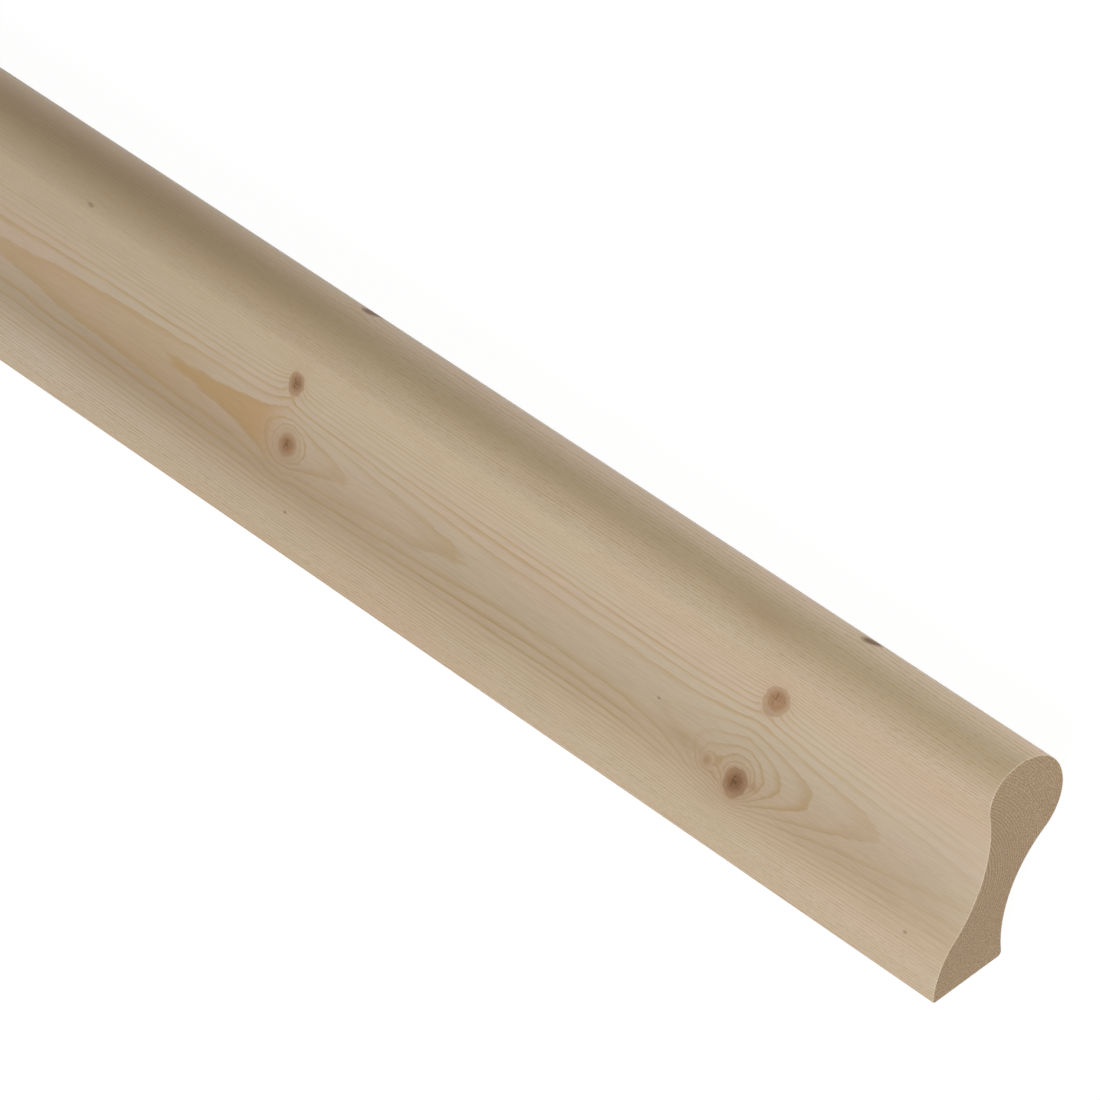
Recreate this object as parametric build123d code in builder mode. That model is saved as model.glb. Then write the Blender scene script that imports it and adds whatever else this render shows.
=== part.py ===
from build123d import *
import math
import os

# A pig's ear handrail: one machined length of softwood with a flat back that is fixed to the wall,
# a waisted neck, and a round grip that is set over to one side of the back.
# The section is drawn upright, with the flat back along the bottom. The finished rail lies as a loose
# length does on a floor: tipped over on to the back's edge and the underside of the grip.

# Overall sizes in millimetres
rail_length = 2400.0
projection = 69.0
overall_width = 57.0

# Flat back
back_width = 28.4
land_height = 2.7
front_arris_radius = 0.8
rear_arris_radius = 1.6

# Grip: a round of one radius that tightens into a smaller shoulder on the front
grip_radius = 16.8
shoulder_radius = 11.5
shoulder_start_angle = 108.0

# Front face: an ogee of a full belly above the back and a long hollow under the shoulder
belly_radius = 27.0
belly_lean_angle = 6.0
front_hollow_radius = 46.0


def on_circle(centre, radius, angle):
    """Point of a circle at an angle in degrees from the section's X axis."""
    return centre + Vector(radius, 0).rotate(Axis.Z, angle)


def direction_angle(start, end):
    """Angle in degrees of the line from start to end."""
    return math.degrees(math.atan2(end.Y - start.Y, end.X - start.X))


def arc_about(centre, radius, start_angle, end_angle):
    """Arc of a circle between two angles, anticlockwise or clockwise as the angles run."""
    middle_angle = (start_angle + end_angle) / 2
    return ThreePointArc(
        on_circle(centre, radius, start_angle),
        on_circle(centre, radius, middle_angle),
        on_circle(centre, radius, end_angle),
    )


# Centres of the grip and its shoulder, which touch inside one another where the radius changes
grip_centre = Vector(overall_width - grip_radius, projection - grip_radius)
shoulder_centre = on_circle(grip_centre, grip_radius - shoulder_radius, shoulder_start_angle)

# The rear hollow leaves the back's land square to the back and runs out tangent to the grip
hollow_rise = grip_centre.Y - land_height
hollow_reach = back_width - grip_centre.X
rear_hollow_radius = (hollow_reach**2 + hollow_rise**2 - grip_radius**2) / (
    2 * (grip_radius - hollow_reach)
)
rear_hollow_centre = Vector(back_width + rear_hollow_radius, land_height)
grip_start_angle = direction_angle(grip_centre, rear_hollow_centre)

# The belly starts at the back's front edge, leaning in by a few degrees
belly_start_angle = 180.0 - belly_lean_angle
belly_centre = on_circle(Vector(0, 0), -belly_radius, belly_start_angle)

# The front hollow touches the belly and the shoulder from outside
to_shoulder = shoulder_centre - belly_centre
reach_from_belly = belly_radius + front_hollow_radius
reach_from_shoulder = shoulder_radius + front_hollow_radius
span = to_shoulder.length
turn = math.degrees(
    math.acos((span**2 + reach_from_belly**2 - reach_from_shoulder**2) / (2 * span * reach_from_belly))
)
belly_end_angle = direction_angle(belly_centre, shoulder_centre) + turn
front_hollow_centre = on_circle(belly_centre, reach_from_belly, belly_end_angle)
shoulder_end_angle = direction_angle(shoulder_centre, front_hollow_centre) % 360
hollow_start_angle = direction_angle(front_hollow_centre, shoulder_centre)
hollow_end_angle = belly_end_angle - 180.0

with BuildSketch() as section:
    with BuildLine():
        back = Line((0, 0), (back_width, 0))
        land = Line(back @ 1, (back_width, land_height))
        arc_about(rear_hollow_centre, rear_hollow_radius, 180.0, grip_start_angle + 180.0)
        arc_about(grip_centre, grip_radius, grip_start_angle, shoulder_start_angle)
        arc_about(shoulder_centre, shoulder_radius, shoulder_start_angle, shoulder_end_angle)
        arc_about(front_hollow_centre, front_hollow_radius, hollow_start_angle, hollow_end_angle)
        arc_about(belly_centre, belly_radius, belly_end_angle, belly_start_angle)
    make_face()
    back_corners = section.vertices().group_by(Axis.Y)[0].sort_by(Axis.X)
    fillet(back_corners[0], radius=front_arris_radius)
    rear_corner = section.vertices().group_by(Axis.Y)[0].sort_by(Axis.X)[-1]
    fillet(rear_corner, radius=rear_arris_radius)

# The rail rests on two rounds, the back's rear arris and the grip, so it tips until the line under both
# is level
rear_arris_centre = Vector(back_width - rear_arris_radius, rear_arris_radius)
between_rests = grip_centre - rear_arris_centre
rest_angle = direction_angle(rear_arris_centre, grip_centre) - math.degrees(
    math.asin((grip_radius - rear_arris_radius) / between_rests.length)
)

# The frame's origin is under the middle of the lying rail, with the length along X and the floor at Z = 0
tipped = section.sketch.rotate(Axis.Z, -rest_angle).bounding_box()
rest_plane = Plane(
    origin=(0, -tipped.center().X, -tipped.min.Y),
    x_dir=Vector(0, 1, 0).rotate(Axis.X, -rest_angle),
    z_dir=(1, 0, 0),
)

with BuildPart() as handrail:
    with BuildSketch(rest_plane):
        add(section.sketch)
    extrude(amount=rail_length / 2, both=True)

handrail.part.label = "handrail"

os.makedirs("parts", exist_ok=True)
export_step(handrail.part, "parts/handrail.step")

print(f"rest angle {rest_angle:.2f} degrees, rear hollow radius {rear_hollow_radius:.2f} mm")
print(f"lying width {tipped.size.X:.2f} mm, lying height {tipped.size.Y:.2f} mm")
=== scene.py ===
import math
import random

import bmesh
import bpy
from mathutils import Matrix, Vector


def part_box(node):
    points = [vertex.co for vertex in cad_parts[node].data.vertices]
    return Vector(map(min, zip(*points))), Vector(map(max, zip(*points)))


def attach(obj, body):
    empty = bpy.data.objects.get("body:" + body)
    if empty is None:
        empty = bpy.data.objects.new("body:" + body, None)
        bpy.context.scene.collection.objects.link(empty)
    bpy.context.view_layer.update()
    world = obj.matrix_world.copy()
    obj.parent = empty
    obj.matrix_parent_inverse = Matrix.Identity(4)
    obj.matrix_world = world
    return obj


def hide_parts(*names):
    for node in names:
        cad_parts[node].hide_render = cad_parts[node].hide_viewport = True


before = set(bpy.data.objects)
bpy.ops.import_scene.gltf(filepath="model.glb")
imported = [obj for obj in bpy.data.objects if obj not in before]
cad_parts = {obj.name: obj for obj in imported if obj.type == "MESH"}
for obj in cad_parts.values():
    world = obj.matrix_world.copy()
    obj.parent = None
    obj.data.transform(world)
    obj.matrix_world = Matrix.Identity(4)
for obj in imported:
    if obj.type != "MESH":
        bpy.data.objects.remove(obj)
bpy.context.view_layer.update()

MM = 0.001

# The rail's section in millimetres, drawn upright with the flat back along the bottom
PROJECTION = 69.0
OVERALL_WIDTH = 57.0
BACK_WIDTH = 28.4
LAND_HEIGHT = 2.7
FRONT_ARRIS = 0.8
REAR_ARRIS = 1.6
GRIP_RADIUS = 16.8
SHOULDER_RADIUS = 11.5
SHOULDER_START = 108.0
BELLY_RADIUS = 27.0
BELLY_LEAN = 6.0
FRONT_HOLLOW_RADIUS = 46.0

# How finely the section's rounds are cut, what counts as the same point and as parallel lines, and the
# eased edge round each sawn end
ARC_STEP = 1.1
FEWEST_ARC_STEPS = 4
SAME_POINT = 0.01
PARALLEL = 1e-9
END_EASE = 0.35
END_EASE_STEPS = 3

# Where the heart of the tree runs: beside the front face, at these distances from the near end and from the
# face, and the limits between which the shader's curve through them runs
FACE_AXIS = (18.0, 26.5)
HEART_SIDE = 138.0
HEART_DISTANCES = [
    (0, 16.0), (41, 15.1), (68, 14.66), (83, 14.4), (126, 13.86), (180, 13.4), (233, 13.1), (279, 12.66),
    (305, 12.5), (320, 12.7), (345, 12.76), (364, 12.97), (380, 13.3), (395, 13.6), (420, 14.1), (461, 14.9),
    (560, 15.2), (720, 13.2), (900, 11.6), (1150, 14.8), (1400, 12.2), (1650, 15.2), (1900, 12.4),
    (2150, 14.8), (2400, 13.0),
]
HEART_NEAREST = 10.0
HEART_FURTHEST = 18.0

# Knots in the photographed stretch: place on the surface, a place further out along the branch,
# radius, how live (1) or dead (0), how dark, rings pulled out, and how far that reaches to the near
# and the far side
KNOTS_IN_VIEW = [
    ((26.4, 45.7, 307.5), (51.3, 64.8, 296.8), 3.2, 0.3, 0.50, 0.3, 12.0, 14.0),
    ((17.9, 26.5, 305.6), (26.8, 18.4, 301.0), 3.6, 1.0, 0.32, 1.7, 40.0, 9.0),
    ((26.6, 47.3, 89.5), (50.4, 65.6, 71.9), 4.3, 0.0, 0.30, 0.8, 16.0, 16.0),
    ((12.1, 20.1, 95.3), (18.1, 11.6, 91.3), 4.4, 0.8, 0.58, 4.4, 22.0, 16.0),
    ((12.6, 20.6, 108.1), (17.5, 12.0, 104.0), 1.9, 0.4, -0.2, 0.8, 5.0, 8.0),
]
NO_KNOT = ((0, 0, -500), (0, 0, -501), 0.1, 0, 0, 0, 10, 10)
KNOT_SLOTS = 4

# Pin knots in the photographed stretch: place on the surface and radius
PIN_KNOTS = [
    ((28.1, 61.9, 407.2), 0.9),
    ((5.3, 13.4, 294.1), 0.5),
    ((5.9, 14.2, 16.8), 0.5),
    ((17.7, 26.2, 134.0), 0.45),
]

# Whorls of branches along the rail. The first two are in the picture, and the others have knots of chance:
# branches in a whorl, degrees from one to the next, and what else is drawn between two limits
WHORLS = (95.0, 305.0, 512.0, 704.0, 903.0, 1098.0, 1301.0, 1497.0, 1702.0, 1899.0, 2097.0, 2296.0)
FIRST_UNSEEN_WHORL = 2
KNOT_SEED = 11
BRANCHES = 3
FIRST_BRANCH_ANGLE = (-100, -55)
BRANCH_SPACING = (38, 52)
WHORL_SCATTER = (-7, 7)
BRANCH_RISE = (15, 27)
BRANCH_LIFE = (0.0, 0.4, 0.8, 1.0)
BRANCH_RADIUS = (1.6, 4.2)
BRANCH_DARKNESS = (0.4, 0.95)
PULL_OF_DEAD = 0.4
PULL_OF_LIVE = 2.8
NEAR_REACH = (20, 40)
FAR_REACH = (25, 65)
BRANCH_STEP = 10

# Soft patches of colour, of the wood and, where marked, of painted shade and light: middle, how far across
# and along they reach, strength and tint
PATCHES = [
    # Painted shade: the top of the grip darker and more olive along the whole rail, where less light falls
    ((36.5, 70.0, 300.0), 7.0, 5000.0, 0.72, (0.460, 0.360, 0.205)),
    # Painted shade: the grip's top darker toward the far end, where the light falls off
    ((38.0, 68.0, 420.0), 14.0, 130.0, 0.88, (0.365, 0.245, 0.135)),
    ((35.5, 68.0, 101.0), 5.0, 15.0, 0.50, (0.410, 0.270, 0.165)),
    # Paler, whiter lower front toward the far end: painted light bouncing up from below, and paler wood
    ((4.0, 8.0, 440.0), 9.0, 95.0, 0.80, (0.610, 0.530, 0.420)),
    ((12.0, 20.0, 350.0), 7.0, 110.0, 0.60, (0.470, 0.330, 0.205)),
    ((27.0, 49.0, 300.0), 14.0, 130.0, 0.50, (0.572, 0.484, 0.342)),
    ((10.0, 19.0, 120.0), 10.0, 170.0, 0.70, (0.615, 0.472, 0.315)),
    ((28.0, 56.0, 440.0), 16.0, 120.0, 0.65, (0.460, 0.375, 0.275)),
    ((13.9, 21.9, 120.0), 2.2, 9.0, 0.45, (0.450, 0.310, 0.165)),
    ((13.3, 21.2, 88.8), 1.3, 1.8, 0.60, (0.360, 0.190, 0.095)),
]
# Stretches where the rings show less: middle, how far across and along they reach, and by how much
CALM = [
    ((16.0, 25.0, 122.0), 9.0, 17.0, 0.85),
    ((18.0, 30.0, 0.0), 22.0, 50.0, 0.65),
    ((18.0, 26.0, 258.0), 7.0, 24.0, 0.45),
]
# Honey-coloured flames inside one ring: its number, the distances along the rail between which the flame
# comes up and those between which it goes, and strength
FLAMES = [
    (13.0, 306.0, 322.0, 380.0, 395.0, 0.85),
    (14.0, 330.0, 370.0, 430.0, 500.0, 0.40),
]
FLAME_EDGE = 0.12

# Colours of the planed faces, the knots and the sawn ends
PALE_WOOD = (0.583, 0.476, 0.346)
PINK_WOOD = (0.604, 0.460, 0.342)
LATE_WOOD = (0.490, 0.335, 0.165)
HONEY = (0.530, 0.335, 0.155)
KNOT_HALO = (0.470, 0.320, 0.200)
KNOT_BROWN = (0.460, 0.272, 0.150)
KNOT_DARK = (0.150, 0.072, 0.026)
PIN_BROWN = (0.270, 0.170, 0.090)
FIBRE_DARK = (0.330, 0.225, 0.130)
END_WOOD = (0.458, 0.312, 0.175)
END_LATE = (0.270, 0.165, 0.088)
END_FUZZ = (0.680, 0.530, 0.290)
# A painted highlight on the eased edges of the sawn ends
END_EDGE_HIGHLIGHT = (0.760, 0.660, 0.520)


def polar(centre, radius, angle):
    """Point on a circle, with the angle in degrees."""
    turn = math.radians(angle)
    return Vector((centre[0] + radius * math.cos(turn), centre[1] + radius * math.sin(turn)))


def bearing(start, end):
    """Direction in degrees from one point to another."""
    return math.degrees(math.atan2(end[1] - start[1], end[0] - start[0]))


def section_arcs():
    """The outline as arcs (centre, radius, first angle, last angle), anticlockwise round the section."""
    grip = Vector((OVERALL_WIDTH - GRIP_RADIUS, PROJECTION - GRIP_RADIUS))
    shoulder = polar(grip, GRIP_RADIUS - SHOULDER_RADIUS, SHOULDER_START)
    rise = grip.y - LAND_HEIGHT
    reach = BACK_WIDTH - grip.x
    rear_radius = (reach**2 + rise**2 - GRIP_RADIUS**2) / (2 * (GRIP_RADIUS - reach))
    rear_hollow = Vector((BACK_WIDTH + rear_radius, LAND_HEIGHT))
    grip_start = bearing(grip, rear_hollow)

    # The front hollow touches the belly and the shoulder from outside
    belly = polar((0, 0), -BELLY_RADIUS, 180.0 - BELLY_LEAN)
    span = (shoulder - belly).length
    from_belly = BELLY_RADIUS + FRONT_HOLLOW_RADIUS
    from_shoulder = SHOULDER_RADIUS + FRONT_HOLLOW_RADIUS
    turn = math.degrees(math.acos((span**2 + from_belly**2 - from_shoulder**2) / (2 * span * from_belly)))
    belly_end = bearing(belly, shoulder) + turn
    front_hollow = polar(belly, from_belly, belly_end)
    hollow_start = bearing(front_hollow, shoulder)

    # The front arris is a small round that touches the back and the belly from inside
    arris_x = belly.x - math.sqrt((BELLY_RADIUS - FRONT_ARRIS) ** 2 - (FRONT_ARRIS - belly.y) ** 2)
    front_arris = Vector((arris_x, FRONT_ARRIS))
    arris_start = bearing(belly, front_arris) % 360
    rear_arris = Vector((BACK_WIDTH - REAR_ARRIS, REAR_ARRIS))
    return [
        (front_arris, FRONT_ARRIS, arris_start, 270.0),
        (rear_arris, REAR_ARRIS, -90.0, 0.0),
        (rear_hollow, rear_radius, 180.0, grip_start + 180.0),
        (grip, GRIP_RADIUS, grip_start, SHOULDER_START),
        (shoulder, SHOULDER_RADIUS, SHOULDER_START, hollow_start + 180.0),
        (front_hollow, FRONT_HOLLOW_RADIUS, hollow_start, belly_end - 180.0),
        (belly, BELLY_RADIUS, belly_end, arris_start),
    ]


def section_outline():
    """Points and outward directions round the section, without a repeated last point."""
    points = []
    for centre, radius, first, last in section_arcs():
        sweep = last - first
        count = max(FEWEST_ARC_STEPS, math.ceil(abs(math.radians(sweep)) * radius / ARC_STEP))
        outward = 1 if sweep > 0 else -1
        for i in range(count + 1):
            angle = first + sweep * i / count
            spot = polar(centre, radius, angle)
            if not points or (spot - points[-1][0]).length > SAME_POINT:
                points.append((spot, outward * polar((0, 0), 1, angle)))
    if (points[0][0] - points[-1][0]).length < SAME_POINT:
        points.pop()
    return points


def rest_angle():
    """How far the upright section is tipped to lie on its rear arris and its grip, in degrees."""
    grip = Vector((OVERALL_WIDTH - GRIP_RADIUS, PROJECTION - GRIP_RADIUS))
    rear_arris = Vector((BACK_WIDTH - REAR_ARRIS, REAR_ARRIS))
    between = (grip - rear_arris).length
    return bearing(rear_arris, grip) - math.degrees(math.asin((GRIP_RADIUS - REAR_ARRIS) / between))


OUTLINE = section_outline()
TIP = Matrix.Rotation(-math.radians(rest_angle()), 2)
lying = [TIP @ spot for spot, outward in OUTLINE]
SHIFT_Y = -(min(p.x for p in lying) + max(p.x for p in lying)) / 2
SHIFT_Z = -min(p.y for p in lying)
rail_low, rail_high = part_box("handrail")
NEAR_END = rail_high[0] / MM
RAIL_LENGTH = (rail_high[0] - rail_low[0]) / MM


def to_frame(along, across, up):
    """A place in the part's frame in metres, from millimetres along from the near end and in the section."""
    tipped = TIP @ Vector((across, up))
    return Vector((NEAR_END - along, tipped.x + SHIFT_Y, tipped.y + SHIFT_Z)) * MM


def heart(along):
    """The heart of the tree in the section, at a distance from the near end."""
    for (a, first), (b, second) in zip(HEART_DISTANCES, HEART_DISTANCES[1:]):
        if along <= b:
            break
    return polar(FACE_AXIS, first + (second - first) * (along - a) / (b - a), HEART_SIDE)


def surface_toward(start, angle):
    """Where a line from a place in the section first meets the outline, or None."""
    heading = polar((0, 0), 1, angle)
    nearest = None
    spots = [spot for spot, outward in OUTLINE]
    for a, b in zip(spots, spots[1:] + spots[:1]):
        edge = b - a
        cross = heading.cross(edge)
        if abs(cross) < PARALLEL:
            continue
        reach = (a - start).cross(edge) / cross
        share = (a - start).cross(heading) / cross
        if reach > 0 and 0 <= share <= 1 and (nearest is None or reach < nearest):
            nearest = reach
    return None if nearest is None else start + heading * nearest


def unseen_knots(dice, whorl):
    """Knots of one whorl out of the picture: a few branches that run from the heart through the rail."""
    knots = []
    first = dice.uniform(*FIRST_BRANCH_ANGLE)
    for branch in range(BRANCHES):
        angle = first + branch * dice.uniform(*BRANCH_SPACING)
        along = whorl + dice.uniform(*WHORL_SCATTER)
        spot = surface_toward(heart(along), angle)
        if spot is None:
            continue
        rise = math.tan(math.radians(dice.uniform(*BRANCH_RISE)))
        further = spot + polar((0, 0), BRANCH_STEP, angle)
        live = dice.choice(BRANCH_LIFE)
        radius = dice.uniform(*BRANCH_RADIUS)
        knots.append((
            (spot.x, spot.y, along), (further.x, further.y, along - BRANCH_STEP * rise), radius, live,
            dice.uniform(*BRANCH_DARKNESS), PULL_OF_DEAD + PULL_OF_LIVE * live,
            dice.uniform(*NEAR_REACH), dice.uniform(*FAR_REACH),
        ))
    return knots


def knot_stretches():
    """Borders between the whorls along the rail, and the knots in each stretch between two borders."""
    dice = random.Random(KNOT_SEED)
    borders = [0.0] + [(a + b) / 2 for a, b in zip(WHORLS, WHORLS[1:])] + [RAIL_LENGTH]
    stretches = []
    for index, whorl in enumerate(WHORLS):
        if index < FIRST_UNSEEN_WHORL:
            stretches.append([k for k in KNOTS_IN_VIEW if borders[index] <= k[0][2] < borders[index + 1]])
        else:
            stretches.append(unseen_knots(dice, whorl))
    return borders, stretches


def store_faces(mesh, name, kind, values):
    """Write one value to each face."""
    data = mesh.attributes.new(name, kind, "FACE").data
    if kind == "FLOAT":
        data.foreach_set("value", values)
    else:
        data.foreach_set("vector", [part for vector in values for part in vector])


def store_knots(mesh, borders, stretches):
    """Write each stretch's knots on its faces, for the shader to read."""
    along = [spot.vector[2] for spot in mesh.attributes["timber"].data]
    knots_at = []
    for face in mesh.polygons:
        middle = sum(along[i] for i in face.vertices) / len(face.vertices)
        stretch = sum(middle >= border for border in borders[1:-1])
        knots_at.append(stretches[stretch] + [NO_KNOT] * KNOT_SLOTS)
    for slot in range(KNOT_SLOTS):
        places, headings, natures, reaches = [], [], [], []
        for knots in knots_at:
            place, further, radius, live, dark, pull, near, far = knots[slot]
            places.append(place)
            headings.append((Vector(further) - Vector(place)).normalized())
            natures.append((radius, live, dark))
            reaches.append((pull, near, far))
        store_faces(mesh, f"knot{slot}_place", "FLOAT_VECTOR", places)
        store_faces(mesh, f"knot{slot}_heading", "FLOAT_VECTOR", headings)
        store_faces(mesh, f"knot{slot}_nature", "FLOAT_VECTOR", natures)
        store_faces(mesh, f"knot{slot}_reach", "FLOAT_VECTOR", reaches)


def cross_sections(borders):
    """Where the outline is set along the rail, and how far it is drawn in there to ease the ends."""
    near = []
    for step in range(END_EASE_STEPS + 1):
        turn = math.radians(90) * step / END_EASE_STEPS
        near.append((END_EASE * (1 - math.cos(turn)), END_EASE * (1 - math.sin(turn))))
    plain = [(border, 0.0) for border in borders[1:-1]]
    far = [(RAIL_LENGTH - along, inset) for along, inset in reversed(near)]
    return near + plain + far


def build_rail():
    """The whole rail as one closed mesh, with its eased ends and its places in the timber stored on it."""
    borders, stretches = knot_stretches()
    mesh = bpy.data.meshes.new("pine_handrail")
    bm = bmesh.new()
    timber = bm.verts.layers.float_vector.new("timber")
    loops = []
    for along, inset in cross_sections(borders):
        loop = []
        for spot, outward in OUTLINE:
            p = spot - outward * inset
            vert = bm.verts.new(to_frame(along, p.x, p.y))
            vert[timber] = Vector((p.x, p.y, along))
            loop.append(vert)
        loops.append(loop)
    count = len(OUTLINE)
    for a, b in zip(loops, loops[1:]):
        for i in range(count):
            j = (i + 1) % count
            bm.faces.new((a[i], a[j], b[j], b[i])).smooth = True
    near_cap = bm.faces.new(list(reversed(loops[0])))
    far_cap = bm.faces.new(loops[-1])
    for cap in (near_cap, far_cap):
        for edge in cap.edges:
            edge.smooth = False
    bm.normal_update()
    bmesh.ops.recalc_face_normals(bm, faces=bm.faces)
    bm.to_mesh(mesh)
    bm.free()
    store_faces(mesh, "end_grain", "FLOAT", [abs(face.normal.x) for face in mesh.polygons])
    store_knots(mesh, borders, stretches)
    rail = bpy.data.objects.new("pine_handrail", mesh)
    bpy.context.scene.collection.objects.link(rail)
    return rail


rail = build_rail()
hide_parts("handrail")
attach(rail, "root")


class Sum:
    """A number or vector worked out by shader nodes, that plain arithmetic can be done with."""

    def __init__(self, maker, socket):
        self.maker = maker
        self.socket = socket

    def __add__(self, other):
        return self.maker.math("ADD", self, other)

    def __radd__(self, other):
        return self.maker.math("ADD", other, self)

    def __sub__(self, other):
        return self.maker.math("SUBTRACT", self, other)

    def __rsub__(self, other):
        return self.maker.math("SUBTRACT", other, self)

    def __mul__(self, other):
        return self.maker.math("MULTIPLY", self, other)

    def __rmul__(self, other):
        return self.maker.math("MULTIPLY", other, self)

    def __truediv__(self, other):
        return self.maker.math("DIVIDE", self, other)


class Maker:
    """Adds nodes to a material's tree."""

    def __init__(self, tree):
        self.nodes = tree.nodes
        self.links = tree.links

    def feed(self, socket, value):
        """Link a worked-out value to a socket, or set a plain one on it."""
        if isinstance(value, Sum):
            self.links.new(value.socket, socket)
        else:
            socket.default_value = value

    def math(self, operation, *values):
        node = self.nodes.new("ShaderNodeMath")
        node.operation = operation
        for socket, value in zip(node.inputs, values):
            self.feed(socket, value)
        return Sum(self, node.outputs[0])

    def vector(self, operation, *values):
        node = self.nodes.new("ShaderNodeVectorMath")
        node.operation = operation
        for socket, value in zip(node.inputs, values):
            self.feed(socket, value)
        single = operation in ("DOT_PRODUCT", "LENGTH")
        return Sum(self, node.outputs["Value" if single else "Vector"])

    def scaled(self, vector, factor):
        node = self.nodes.new("ShaderNodeVectorMath")
        node.operation = "SCALE"
        self.feed(node.inputs[0], vector)
        self.feed(node.inputs["Scale"], factor)
        return Sum(self, node.outputs["Vector"])

    def attribute(self, name, output="Vector"):
        node = self.nodes.new("ShaderNodeAttribute")
        node.attribute_name = name
        return Sum(self, node.outputs[output])

    def split(self, vector):
        node = self.nodes.new("ShaderNodeSeparateXYZ")
        self.feed(node.inputs[0], vector)
        return [Sum(self, out) for out in node.outputs]

    def join(self, x, y, z):
        node = self.nodes.new("ShaderNodeCombineXYZ")
        for socket, value in zip(node.inputs, (x, y, z)):
            self.feed(socket, value)
        return Sum(self, node.outputs[0])

    def noise(self, place, detail, roughness=0.5):
        """Smooth noise, mostly between -1 and 1, with features one unit of the place wide."""
        node = self.nodes.new("ShaderNodeTexNoise")
        self.feed(node.inputs["Vector"], place)
        node.inputs["Scale"].default_value = 1.0
        node.inputs["Detail"].default_value = detail
        node.inputs["Roughness"].default_value = roughness
        return Sum(self, node.outputs["Fac"]) * 4.0 - 2.0

    def rise(self, value, low, high):
        """0 below the low bound, 1 above the high one, smooth between."""
        node = self.nodes.new("ShaderNodeMapRange")
        node.interpolation_type = "SMOOTHSTEP"
        self.feed(node.inputs["Value"], value)
        self.feed(node.inputs["From Min"], low)
        self.feed(node.inputs["From Max"], high)
        return Sum(self, node.outputs[0])

    def fall(self, value, low, high):
        """1 below the low bound, 0 above the high one, smooth between."""
        return 1.0 - self.rise(value, low, high)

    def fade(self, distance, reach):
        """1 at no distance, down to a third of it at each further reach."""
        return self.math("EXPONENT", 0.0 - distance / reach)

    def blend(self, share, first, second):
        """A colour between two colours."""
        node = self.nodes.new("ShaderNodeMix")
        node.data_type = "RGBA"
        node.clamp_factor = True
        self.feed(node.inputs["Factor"], share)
        for socket, colour in ((node.inputs[6], first), (node.inputs[7], second)):
            self.feed(socket, colour if isinstance(colour, Sum) else (*colour, 1))
        return Sum(self, node.outputs[2])

    def between(self, share, first, second):
        """A number between two numbers."""
        return first + share * (second - first)

    def curve(self, value, points, low, high, span):
        """A smooth curve through points, whose values run from low to high over the span."""
        node = self.nodes.new("ShaderNodeFloatCurve")
        line = node.mapping.curves[0]
        for (x, y), end in zip((points[0], points[-1]), line.points):
            end.location = (x / span, (y - low) / (high - low))
        for x, y in points[1:-1]:
            line.points.new(x / span, (y - low) / (high - low))
        node.mapping.update()
        self.feed(node.inputs["Value"], value / span)
        return Sum(self, node.outputs[0]) * (high - low) + low


class Timber:
    """A place in the timber: across the section, up it and along from the near end, in millimetres."""

    def __init__(self, mk):
        self.mk = mk
        self.place = mk.attribute("timber")
        self.u, self.v, self.along = mk.split(self.place)

    def noise(self, across, length, detail, roughness=0.5):
        """Noise with features so wide across the grain and so long along it."""
        place = self.mk.join(self.u / across, self.v / across, self.along / length)
        return self.mk.noise(place, detail, roughness)

    def offset(self, place):
        """The way here from another place."""
        return self.mk.vector("SUBTRACT", self.place, place)

    def nearness(self, place, across, reach):
        """1 at a place, falling softly to 0 at a distance across and along the grain."""
        q = self.mk.vector("MULTIPLY", self.offset(place), (1.0 / across, 1.0 / across, 1.0 / reach))
        return self.mk.math("EXPONENT", 0.0 - self.mk.vector("DOT_PRODUCT", q, q))


# Noises in the timber: how wide their features are across the grain and how long along it in millimetres,
# their detail and, where it isn't the usual one, their roughness
BEND_NOISE = (30.0, 160.0, 1.0)
RIPPLE_NOISE = (5.0, 22.0, 3.0, 0.65)
FINE_NOISE = (1.5, 5.0, 1.0)
PATCH_NOISE = (16.0, 70.0, 2.0)
WOBBLE_NOISE = (3.0, 4.0, 2.0)
DASH_NOISE = (0.36, 2.0, 0.0)
STREAK_NOISE = (0.7, 12.0, 1.0)
FUZZ_NOISE = (0.62, 2.0, 1.0)

# Yearly rings: their mean number for each millimetre from the heart, by how much the wood near the heart
# has fewer and the outer wood more, where that changes and over what width
RINGS_PER_MM = 0.78
RING_CHANGE = 0.32
CHANGE_RADIUS = 20.0
CHANGE_WIDTH = 6.0
FIRST_RING = -0.02
# How the rings waver: a bend of the whole tree in millimetres, then ripples, fine ripples and years of
# uneven width in rings, and the distances from the heart between which the uneven years come in
BEND = 0.3
RIPPLE = 0.10
FINE_RIPPLE = 0.035
UNEVEN_YEARS = 0.3
UNEVEN_YEAR_WIDTH = 3.2
UNEVEN_YEAR_SEED = 8.1
UNEVEN_RADIUS = (17.0, 24.0)


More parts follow.
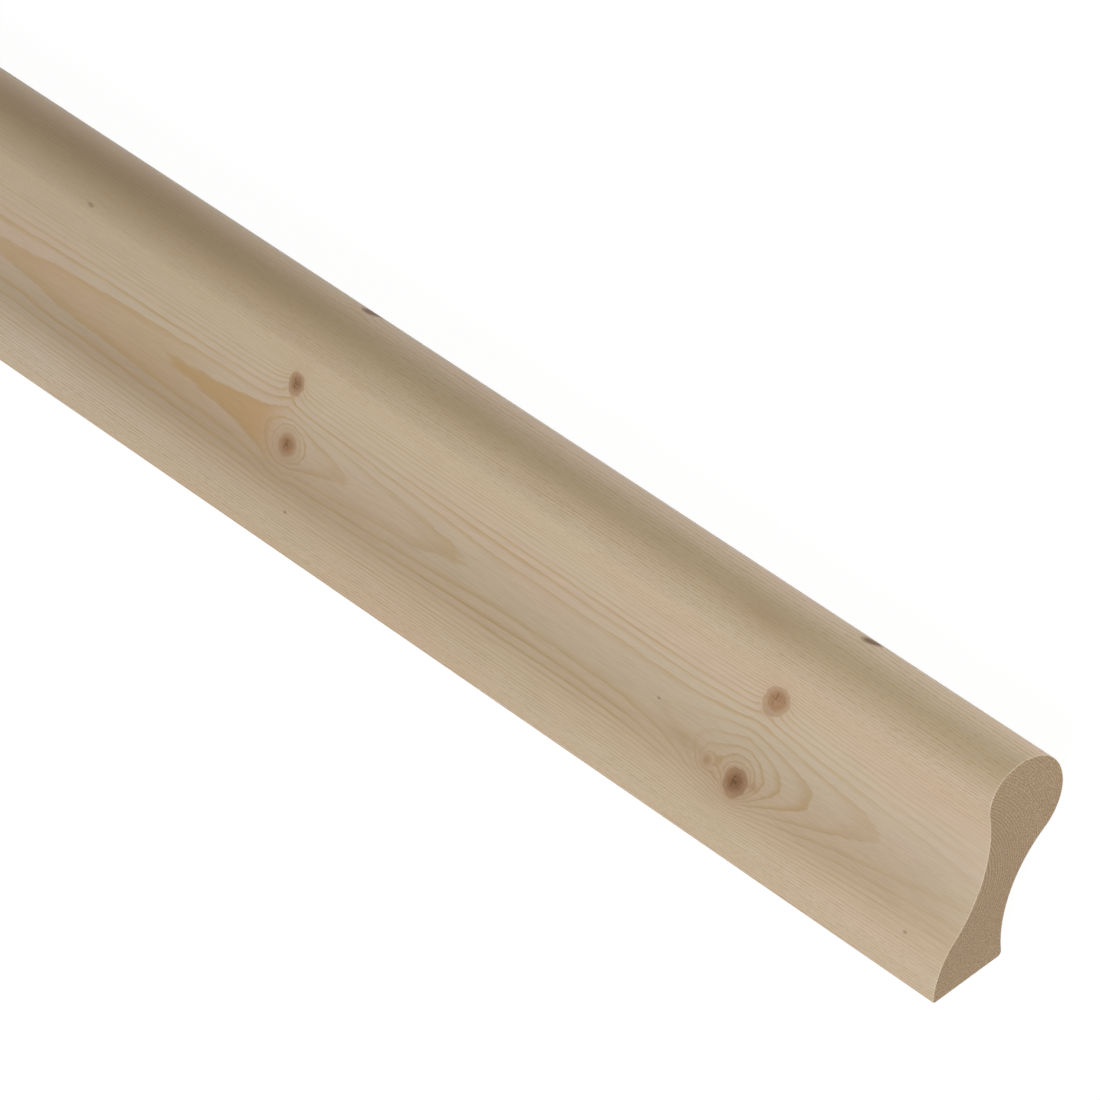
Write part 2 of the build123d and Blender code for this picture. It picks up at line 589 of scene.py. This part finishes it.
def ring_count(mk, timber):
    """Rings counted outward from the heart, before the knots push them about, and the distance to it."""
    away = mk.curve(timber.along, HEART_DISTANCES, HEART_NEAREST, HEART_FURTHEST, HEART_DISTANCES[-1][0])
    side = polar((0, 0), 1, HEART_SIDE)
    bend = timber.noise(*BEND_NOISE) * BEND
    across = timber.u - away * side.x - FACE_AXIS[0] + bend
    up = timber.v - away * side.y - FACE_AXIS[1] - bend
    radius = mk.math("SQRT", across * across + up * up)
    past = radius - CHANGE_RADIUS
    rings = mk.math("SQRT", past * past + CHANGE_WIDTH**2) * RING_CHANGE + radius * RINGS_PER_MM + FIRST_RING
    ripple = timber.noise(*RIPPLE_NOISE)
    fine = timber.noise(*FINE_NOISE)
    years = mk.noise(mk.join(radius / UNEVEN_YEAR_WIDTH, UNEVEN_YEAR_SEED, 0.0), detail=1.0)
    uneven = years * mk.rise(radius, *UNEVEN_RADIUS) * UNEVEN_YEARS
    return rings + ripple * RIPPLE + fine * FINE_RIPPLE + uneven, radius


# A knot grows outward by a share of its radius for each millimetre if it is live and shrinks a little if
# it is dead, between two shares, and its edge wobbles
LIVE_GROWTH = 0.038
DEAD_SHRINKING = 0.008
SMALLEST_SHARE = 0.6
LARGEST_SHARE = 1.3
EDGE_WOBBLE = 0.12
KNOT_EDGE = (-0.5, 0.4)
RING_WIDTH_IN_KNOT = 0.6
# Its pull on the rings: how softly the near side's reach turns into the far side's, how round the peak is,
# where the pull ends, and its width across, with a share of the knot's size
SIDE_BLEND = 5.0
PEAK_ROUNDING = 6.0
PEAK_DROP = 2.4
PULL_END = (50.0, 92.0)
PULL_WIDTH = 3.0
PULL_WIDTH_SHARE = 2.0
# The collar of rings close round it, in rings
COLLAR_REACH = 2.2
COLLAR_OF_DEAD = 0.5
COLLAR_OF_LIVE = 2.6
# The drying crack across it: how it wanders and where it lies, its width, and its ends as shares of the size
CRACK_WOBBLE = 0.5
CRACK_OFFSET = 0.15
CRACK_WIDTH = (0.08, 0.3)
CRACK_ENDS = (0.3, 0.5)


class Knot:
    """One knot as the shader sees it from a place in the timber."""

    def __init__(self, mk, timber, slot, wobble):
        heading = mk.attribute(f"knot{slot}_heading")
        radius, self.live, self.dark = mk.split(mk.attribute(f"knot{slot}_nature"))
        pull, near, far = mk.split(mk.attribute(f"knot{slot}_reach"))

        # How far the place lies out along the branch, beside its middle, and along the grain from it
        q = timber.offset(mk.attribute(f"knot{slot}_place"))
        self.out = mk.vector("DOT_PRODUCT", q, heading)
        off = mk.vector("SUBTRACT", q, mk.scaled(heading, self.out))
        beside = mk.split(mk.vector("CROSS_PRODUCT", q, heading))[2]
        lengthwise = mk.split(off)[2]
        growth = self.out * (self.live * LIVE_GROWTH - DEAD_SHRINKING) + 1.0
        self.size = radius * mk.math("MAXIMUM", mk.math("MINIMUM", growth, LARGEST_SHARE), SMALLEST_SHARE)
        self.distance = mk.vector("LENGTH", off) * (1.0 + wobble * EDGE_WOBBLE)
        self.outside = mk.math("MAXIMUM", self.distance - self.size, 0.0)
        self.inside = mk.fall(self.distance - self.size, *KNOT_EDGE)

        reach = mk.between(mk.rise(lengthwise, -SIDE_BLEND, SIDE_BLEND), near, far)
        away = mk.math("SQRT", lengthwise * lengthwise + PEAK_ROUNDING) - PEAK_DROP
        lens = mk.fade(away, reach) * mk.fall(away, *PULL_END)
        width = PULL_WIDTH + self.size * PULL_WIDTH_SHARE
        lens = lens * mk.fade(beside * beside, width * width)
        collar = mk.fade(self.outside, COLLAR_REACH) * (self.live * COLLAR_OF_LIVE + COLLAR_OF_DEAD)
        self.pull = pull * lens + collar

        line = mk.math("ABSOLUTE", lengthwise + wobble * CRACK_WOBBLE - self.size * CRACK_OFFSET)
        ends = [self.size * share for share in CRACK_ENDS]
        self.crack = mk.fall(line, *CRACK_WIDTH) * mk.fall(mk.math("ABSOLUTE", beside), *ends)


# How strongly the late wood of a ring shows: from where in the year it darkens and where it stops, the
# least strength, the mean, and what each ring's own chance, the face near the heart and the outer wood add
LATE_START = 0.3
LATE_STOP = 0.93
LEAST_STRENGTH = 0.1
MEAN_STRENGTH = 0.58
CHANCE_STRENGTH = 0.48
CHANCE_STEP = 7.3
CHANCE_LENGTH = 80.0
STEADY_STRENGTH = 0.35
STEADY_RADIUS = (15.0, 20.0)
STEADY_FROM_END = (20.0, 70.0)
OUTER_STRENGTH = 0.35
OUTER_RADIUS = (19.0, 31.0)
OUTER_DASHES = 0.6
# Round a knot the rings show more, and a dark knot adds to that. The rings nearest the heart show less
ROUND_KNOT_REACH = 3.5
ROUND_KNOT = 0.40
ROUND_DARK_KNOT = 0.5
INNER_SHARE = 0.70
INNER_RADIUS = (13.6, 16.0)


def late_wood(mk, timber, knots, rings, radius, outer, dash):
    """The dark arc of each year, and how strongly it shows on the planed faces."""
    year = mk.math("FRACT", rings)
    toe = mk.rise(year, LATE_START, LATE_STOP)
    arc = toe * toe * mk.fall(year, LATE_STOP, 1.0)
    chance = mk.noise(mk.join(mk.math("FLOOR", rings) * CHANCE_STEP, timber.along / CHANCE_LENGTH, 0.0), 1.0)
    steady = mk.fall(radius, *STEADY_RADIUS) * mk.rise(timber.along, *STEADY_FROM_END)
    strength = MEAN_STRENGTH + chance * CHANCE_STRENGTH + steady * STEADY_STRENGTH + outer * OUTER_STRENGTH
    strength = mk.math("MAXIMUM", strength, LEAST_STRENGTH)
    for knot in knots:
        added = knot.dark * ROUND_DARK_KNOT + ROUND_KNOT
        strength = strength + mk.fade(knot.outside, ROUND_KNOT_REACH) * added
    for place, across, reach, calm in CALM:
        strength = strength * (1.0 - timber.nearness(place, across, reach) * calm)
    strength = strength * (INNER_SHARE + (1.0 - INNER_SHARE) * mk.rise(radius, *INNER_RADIUS))
    return arc, arc * strength * (1.0 + dash * outer * OUTER_DASHES)


# How much of each thing shows in the colour of the planed faces, and between which values of its noise
TINT_CHANGE = 0.7
PATCH_UNEVENNESS = 0.2
LATE_SHARE = 0.8
DASH_SHARE = 0.05
OUTER_DASH_SHARE = 0.12
DASH_RANGE = (0.1, 1.1)
STREAK_SHARE = 0.16
STREAK_RANGE = (-0.6, 1.2)
PIN_SHARE = 0.65
PIN_EDGE = (0.5, 1.3)
PIN_STRETCH = (1.0, 1.0, 0.6)


def face_colour(mk, timber, rings, late, outer, dash, streak):
    """The planed faces without their knots."""
    patch = timber.noise(*PATCH_NOISE)
    colour = mk.blend(mk.rise(patch, -TINT_CHANGE, TINT_CHANGE), PALE_WOOD, PINK_WOOD)
    # Some patches are painted shade and painted light, as marked in PATCHES
    for place, across, reach, strength, tint in PATCHES:
        share = timber.nearness(place, across, reach) * (patch * PATCH_UNEVENNESS + 1.0)
        colour = mk.blend(share * strength, colour, tint)
    for ring, start, full, wane, end, strength in FLAMES:
        window = mk.rise(timber.along, start, full) * mk.fall(timber.along, wane, end)
        colour = mk.blend(mk.fall(rings, ring - FLAME_EDGE, ring) * window * strength, colour, HONEY)
    colour = mk.blend(late * LATE_SHARE, colour, LATE_WOOD)
    dashes = mk.rise(dash, *DASH_RANGE) * (outer * OUTER_DASH_SHARE + DASH_SHARE)
    colour = mk.blend(dashes, colour, FIBRE_DARK)
    return mk.blend(mk.rise(streak, *STREAK_RANGE) * STREAK_SHARE, colour, FIBRE_DARK)


# Colour of a knot: the halo round it, and what makes it darker: its own darkness, more so in a core that a
# live knot has, rings, wobble, fibres, lying far out on the branch, a pith dot or a crack, and a dead rim
HALO_REACH = 2.0
HALO_SHARE = 0.2
HALO_ADDED = 0.25
CORE_EDGE = (0.15, 0.8)
BODY_DARKNESS = 0.75
LIVE_PALENESS = 0.4
CORE_DARKNESS = 0.25
LIVE_CORE_DARKNESS = 0.5
RINGS_IN_KNOT = 0.25
WOBBLE_IN_KNOT = 0.2
DASHES_IN_KNOT = 0.10
FAR_OUT = (12.0, 26.0)
PITH_EDGE = (0.3, 0.7)
PITH_OR_CRACK = 0.35
RIM_WIDTH = (0.1, 0.6)
RIM_DARKNESS = 0.3
# A pale knot melts into the wood at its edge, and one with darkness below nothing hardly shows
MELTING_EDGE = (0.5, 0.85)
MELTING = 0.75
FAINTNESS = 2.5


def knot_colour(mk, colour, knot, late, wobble, dash):
    """The colour with one knot added."""
    halo = mk.fade(knot.outside, HALO_REACH) * (HALO_SHARE + HALO_ADDED * knot.live + HALO_ADDED * knot.dark)
    colour = mk.blend(halo, colour, KNOT_HALO)
    share = knot.distance / knot.size
    core = mk.fall(share, *CORE_EDGE) * (CORE_DARKNESS + knot.live * LIVE_CORE_DARKNESS)
    pith = mk.fall(knot.distance, *PITH_EDGE) * knot.live
    rim = mk.fall(mk.math("ABSOLUTE", knot.distance - knot.size), *RIM_WIDTH) * (1.0 - knot.live)
    tone = knot.dark * (BODY_DARKNESS - knot.live * LIVE_PALENESS + core) + late * RINGS_IN_KNOT
    tone = tone + wobble * WOBBLE_IN_KNOT + dash * DASHES_IN_KNOT + mk.rise(knot.out, *FAR_OUT)
    tone = tone + mk.math("MAXIMUM", pith, knot.crack) * PITH_OR_CRACK + rim * RIM_DARKNESS
    melting = mk.rise(share, *MELTING_EDGE) * (1.0 - knot.dark) * MELTING
    shown = mk.math("MINIMUM", knot.dark * FAINTNESS + 1.0, 1.0)
    return mk.blend(knot.inside * (1.0 - melting) * shown, colour, mk.blend(tone, KNOT_BROWN, KNOT_DARK))


# Sawn ends: from which lean of a face the end grain shows, where the eased edge lies between the two and how
# strongly a painted highlight shows on it, and the fuzz of torn fibres, which is thicker in the outer wood,
# with the values of its noise
CUT_LEAN = (0.75, 0.95)
EDGE_HIGHLIGHT_LEAN = (0.05, 0.2)
EDGE_HIGHLIGHT_SHARE = 0.6
EDGE_HIGHLIGHT_RANGE = (-1.0, 0.8)
LEAST_ROUGH = 0.25
ROUGH_RADIUS = (26.0, 42.0)
FUZZ_HIDES_RINGS = 0.4
PALE_FUZZ = 0.9
PALE_RANGE = (0.1, 1.0)
DARK_FUZZ = 0.7
DARK_RANGE = (-1.0, -0.1)


def end_colour(mk, colour, ends, cut, arc, radius, fuzz):
    """The colour with the sawn ends added, and a painted highlight along their eased edges."""
    edge = mk.rise(ends, *EDGE_HIGHLIGHT_LEAN) * mk.fall(ends, *CUT_LEAN)
    rough = LEAST_ROUGH + mk.rise(radius, *ROUGH_RADIUS) * (1.0 - LEAST_ROUGH)
    grain = mk.blend(arc * (1.0 - rough * FUZZ_HIDES_RINGS), END_WOOD, END_LATE)
    grain = mk.blend(mk.rise(fuzz, *PALE_RANGE) * rough * PALE_FUZZ, grain, END_FUZZ)
    grain = mk.blend(mk.fall(fuzz, *DARK_RANGE) * rough * DARK_FUZZ, grain, END_LATE)
    colour = mk.blend(cut, colour, grain)
    # A painted highlight along the eased edge, broken up by the fuzz
    return mk.blend(edge * mk.rise(fuzz, *EDGE_HIGHLIGHT_RANGE) * EDGE_HIGHLIGHT_SHARE, colour, END_EDGE_HIGHLIGHT)


# Surface: how rough and glossy the wood is, its sheen of fine fibres, what a knot has instead, and the
# heights of fibres and fuzz in millimetres
ROUGHNESS = 0.5
SPECULAR = 0.5
SPECULAR_OF_KNOT = 0.3
SHEEN = 0.55
SHEEN_OF_KNOT = 0.0
SHEEN_ROUGHNESS = 0.22
STREAK_HEIGHT = 0.008
DASH_DEPTH = 0.010
FUZZ_HEIGHT = 0.08


def pine_material():
    """Planed pine in three dimensions, which goes through the rail and shows on every side."""
    mat = bpy.data.materials.new("planed_softwood")
    mat.use_nodes = True
    tree = mat.node_tree
    shader = tree.nodes["Principled BSDF"]
    mk = Maker(tree)
    timber = Timber(mk)
    wobble = timber.noise(*WOBBLE_NOISE)
    dash = timber.noise(*DASH_NOISE)
    streak = timber.noise(*STREAK_NOISE)
    fuzz = timber.noise(*FUZZ_NOISE)
    ends = mk.attribute("end_grain", "Fac")
    cut = mk.rise(ends, *CUT_LEAN)

    rings, radius = ring_count(mk, timber)
    knots = [Knot(mk, timber, slot, wobble) for slot in range(KNOT_SLOTS)]
    for knot in knots:
        rings = rings - knot.pull
    for knot in knots:
        rings = mk.between(knot.inside, rings, knot.distance / RING_WIDTH_IN_KNOT)
    outer = mk.rise(radius, *OUTER_RADIUS)
    arc, late = late_wood(mk, timber, knots, rings, radius, outer, dash)

    colour = face_colour(mk, timber, rings, late, outer, dash, streak)
    knotty = 0.0
    for knot in knots:
        colour = knot_colour(mk, colour, knot, late, wobble, dash)
        knotty = knot.inside + knotty
    for place, size in PIN_KNOTS:
        gap = mk.vector("LENGTH", mk.vector("MULTIPLY", timber.offset(place), PIN_STRETCH))
        share = mk.fall(gap, size * PIN_EDGE[0], size * PIN_EDGE[1]) * PIN_SHARE
        colour = mk.blend(share, colour, PIN_BROWN)
    colour = end_colour(mk, colour, ends, cut, arc, radius, fuzz)
    mk.feed(shader.inputs["Base Color"], colour)

    knotty = mk.math("MINIMUM", knotty, 1.0)
    shader.inputs["Roughness"].default_value = ROUGHNESS
    shader.inputs["Sheen Roughness"].default_value = SHEEN_ROUGHNESS
    mk.feed(shader.inputs["Specular IOR Level"], mk.between(knotty, SPECULAR, SPECULAR_OF_KNOT))
    mk.feed(shader.inputs["Sheen Weight"], mk.between(knotty, SHEEN, SHEEN_OF_KNOT))

    bump = tree.nodes.new("ShaderNodeBump")
    bump.inputs["Distance"].default_value = MM
    bump.inputs["Strength"].default_value = 1.0
    height = mk.between(cut, streak * STREAK_HEIGHT - dash * DASH_DEPTH, fuzz * FUZZ_HEIGHT)
    mk.feed(bump.inputs["Height"], height)
    tree.links.new(bump.outputs[0], shader.inputs["Normal"])
    return mat


rail.data.materials.append(pine_material())

# Camera, as it stands in the photograph
CAMERA_PLACE = Vector((2.4442, 0.8013, 1.8532))
CAMERA_FORWARD = Vector((-0.58450, -0.32163, -0.74492))
CAMERA_UP = Vector((-0.45095, 0.89200, -0.03130))
FOCAL_PIXELS = 8050.0
PICTURE_PIXELS = 1100.0
SENSOR_WIDTH = 36.0
CLIP_NEAR = 0.1
CLIP_FAR = 50


def build_camera():
    camera = bpy.data.objects.new("camera", bpy.data.cameras.new("camera"))
    right = CAMERA_FORWARD.cross(CAMERA_UP).normalized()
    up = right.cross(CAMERA_FORWARD).normalized()
    turn = Matrix((right, up, -CAMERA_FORWARD.normalized())).transposed()
    camera.matrix_world = Matrix.Translation(CAMERA_PLACE) @ turn.to_4x4()
    camera.data.sensor_width = SENSOR_WIDTH
    camera.data.lens = SENSOR_WIDTH * FOCAL_PIXELS / PICTURE_PIXELS
    camera.data.clip_start = CLIP_NEAR
    camera.data.clip_end = CLIP_FAR
    bpy.context.scene.collection.objects.link(camera)
    bpy.context.scene.camera = camera


# White background that the camera sees, directly or mirrored, and what lights the rail instead
FLOOR_HALF = 12.0
FLOOR_GLOW = 0.97
FLOOR_SEEN = 0.07
FLOOR_LIT = 0.8
SKY_COLOUR = (1, 0.985, 0.96, 1)
SKY_STRENGTH = 0.17


def background_seen(nodes, links):
    """1 for the rays that show the background to the camera, directly or mirrored, 0 for light."""
    path = nodes.new("ShaderNodeLightPath")
    seen = path.outputs["Is Camera Ray"]
    for name in ("Is Glossy Ray", "Is Transmission Ray"):
        either = nodes.new("ShaderNodeMath")
        either.operation = "MAXIMUM"
        links.new(seen, either.inputs[0])
        links.new(path.outputs[name], either.inputs[1])
        seen = either.outputs[0]
    return seen


def seen_or_lit(nodes, links, lit, seen, output):
    """Send one shader to the light and another to the rays that show the background."""
    mix = nodes.new("ShaderNodeMixShader")
    links.new(background_seen(nodes, links), mix.inputs["Fac"])
    links.new(lit.outputs[0], mix.inputs[1])
    links.new(seen.outputs[0], mix.inputs[2])
    links.new(mix.outputs[0], output.inputs["Surface"])


def diffuse(nodes, grey):
    node = nodes.new("ShaderNodeBsdfDiffuse")
    node.inputs["Color"].default_value = (grey, grey, grey, 1)
    return node


def build_floor():
    """A white floor, on which the rail's shadow still shows."""
    mesh = bpy.data.meshes.new("floor")
    corners = [(x * FLOOR_HALF, y * FLOOR_HALF, 0) for x, y in ((-1, -1), (1, -1), (1, 1), (-1, 1))]
    mesh.from_pydata(corners, [], [(0, 1, 2, 3)])
    floor = bpy.data.objects.new("floor", mesh)
    bpy.context.scene.collection.objects.link(floor)
    mat = bpy.data.materials.new("white_floor")
    mat.use_nodes = True
    nodes, links = mat.node_tree.nodes, mat.node_tree.links
    nodes.clear()
    glow = nodes.new("ShaderNodeEmission")
    glow.inputs["Color"].default_value = (1, 1, 1, 1)
    glow.inputs["Strength"].default_value = FLOOR_GLOW
    seen = nodes.new("ShaderNodeAddShader")
    links.new(glow.outputs[0], seen.inputs[0])
    links.new(diffuse(nodes, FLOOR_SEEN).outputs[0], seen.inputs[1])
    seen_or_lit(nodes, links, diffuse(nodes, FLOOR_LIT), seen, nodes.new("ShaderNodeOutputMaterial"))
    floor.data.materials.append(mat)


def build_world():
    """A soft sky for light, and white where the background shows."""
    world = bpy.data.worlds.new("studio")
    bpy.context.scene.world = world
    world.use_nodes = True
    nodes, links = world.node_tree.nodes, world.node_tree.links
    sky = nodes["Background"]
    sky.inputs["Color"].default_value = SKY_COLOUR
    sky.inputs["Strength"].default_value = SKY_STRENGTH
    white = nodes.new("ShaderNodeBackground")
    white.inputs["Color"].default_value = (1, 1, 1, 1)
    white.inputs["Strength"].default_value = 1.0
    seen_or_lit(nodes, links, sky, white, nodes["World Output"])


# Lamps: name, place, aim, size, power, colour and spread in degrees
LAMPS = [
    ("key_light", (1.35, -1.05, 1.60), (1.0, 0, 0), (1.5, 0.9), 29, (1.0, 0.985, 0.955), 180.0),
    ("far_key_light", (-0.78, -1.05, 1.60), (-0.78, 0, 0), (0.9, 0.9), 6.5, (1.0, 0.985, 0.955), 65.0),
    ("rim_light", (1.5, 0.8, 0.14), (1.0, 0, 0.02), (1.0, 0.24), 4.3, (1.0, 1.0, 1.0), 180.0),
]


def build_lamps():
    for name, place, aim, size, power, colour, spread in LAMPS:
        data = bpy.data.lights.new(name, "AREA")
        data.shape = "RECTANGLE"
        data.size, data.size_y = size
        data.energy = power
        data.color = colour
        data.spread = math.radians(spread)
        lamp = bpy.data.objects.new(name, data)
        lamp.location = place
        lamp.rotation_euler = (Vector(aim) - Vector(place)).to_track_quat("-Z", "Y").to_euler()
        bpy.context.scene.collection.objects.link(lamp)


build_camera()
build_floor()
build_lamps()
build_world()
bpy.context.scene.view_settings.view_transform = "Standard"
